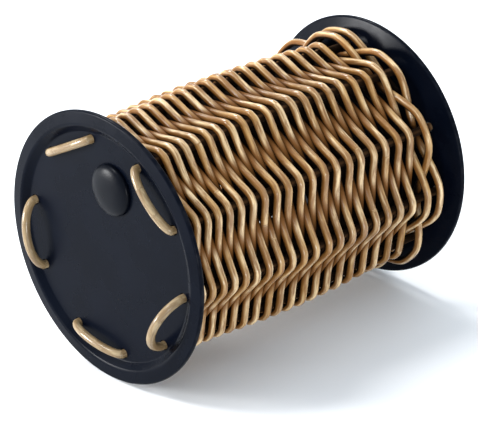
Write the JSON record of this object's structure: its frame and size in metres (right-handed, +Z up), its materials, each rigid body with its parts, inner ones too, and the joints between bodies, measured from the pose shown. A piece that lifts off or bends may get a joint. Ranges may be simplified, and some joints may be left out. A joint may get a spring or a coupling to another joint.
{
  "type": "caxixi",
  "caption": "Hand shaker: a barrel woven from round cane between two lipped black discs, laced with cane loops, with loose seeds inside and a push-in filler plug.",
  "frame": {"origin": "on the floor under the middle of the body, as the shaker lies on its two rims", "axes": "+X along the body from the front disc to the back disc, +Z up"},
  "size_m": [0.1334, 0.0898, 0.0898],
  "materials": {
    "disc_black": "satin",
    "plug_rubber": "satin",
    "stake_cane": "bare cane",
    "weaver_cane": "varnished",
    "seed_shell": "polished"
  },
  "bodies": {
    "basket": {"front_disc": "disc_black", "back_disc": "disc_black", "stake_cane_1": "stake_cane", "stake_cane_2": "stake_cane", "stake_cane_3": "stake_cane", "stake_cane_4": "stake_cane", "stake_cane_5": "stake_cane", "weaver_a_front_length": "weaver_cane", "weaver_a_back_length": "weaver_cane", "weaver_b_front_length": "weaver_cane", "weaver_b_back_length": "weaver_cane"},
    "filler_plug": {"filler_plug": "plug_rubber"},
    "seed_front_1": {"seed_front_1": "seed_shell"},
    "seed_back_1": {"seed_back_1": "seed_shell"},
    "seed_front_2": {"seed_front_2": "seed_shell"},
    "seed_back_2": {"seed_back_2": "seed_shell"},
    "seed_front_3": {"seed_front_3": "seed_shell"},
    "seed_back_3": {"seed_back_3": "seed_shell"},
    "seed_front_4": {"seed_front_4": "seed_shell"},
    "seed_back_4": {"seed_back_4": "seed_shell"},
    "seed_front_5": {"seed_front_5": "seed_shell"},
    "seed_back_5": {"seed_back_5": "seed_shell"}
  },
  "joints": [
    {"name": "filler_plug_pull", "type": "slide", "parent": "basket", "child": "filler_plug", "axis": [-1, 0, 0], "range_m": [0, 0.02]},
    {"name": "seed_front_1_run", "type": "slide", "parent": "basket", "child": "seed_front_1", "axis": [1, 0, 0], "range_m": [-0.003, 0.0453]},
    {"name": "seed_back_1_run", "type": "slide", "parent": "basket", "child": "seed_back_1", "axis": [1, 0, 0], "range_m": [-0.0423, 0.006]},
    {"name": "seed_front_2_run", "type": "slide", "parent": "basket", "child": "seed_front_2", "axis": [1, 0, 0], "range_m": [-0.009, 0.0393]},
    {"name": "seed_back_2_run", "type": "slide", "parent": "basket", "child": "seed_back_2", "axis": [1, 0, 0], "range_m": [-0.0453, 0.003]},
    {"name": "seed_front_3_run", "type": "slide", "parent": "basket", "child": "seed_front_3", "axis": [1, 0, 0], "range_m": [-0.006, 0.0423]},
    {"name": "seed_back_3_run", "type": "slide", "parent": "basket", "child": "seed_back_3", "axis": [1, 0, 0], "range_m": [-0.0393, 0.009]},
    {"name": "seed_front_4_run", "type": "slide", "parent": "basket", "child": "seed_front_4", "axis": [1, 0, 0], "range_m": [-0.003, 0.0453]},
    {"name": "seed_back_4_run", "type": "slide", "parent": "basket", "child": "seed_back_4", "axis": [1, 0, 0], "range_m": [-0.0423, 0.006]},
    {"name": "seed_front_5_run", "type": "slide", "parent": "basket", "child": "seed_front_5", "axis": [1, 0, 0], "range_m": [-0.009, 0.0393]},
    {"name": "seed_back_5_run", "type": "slide", "parent": "basket", "child": "seed_back_5", "axis": [1, 0, 0], "range_m": [-0.0453, 0.003]}
  ]
}
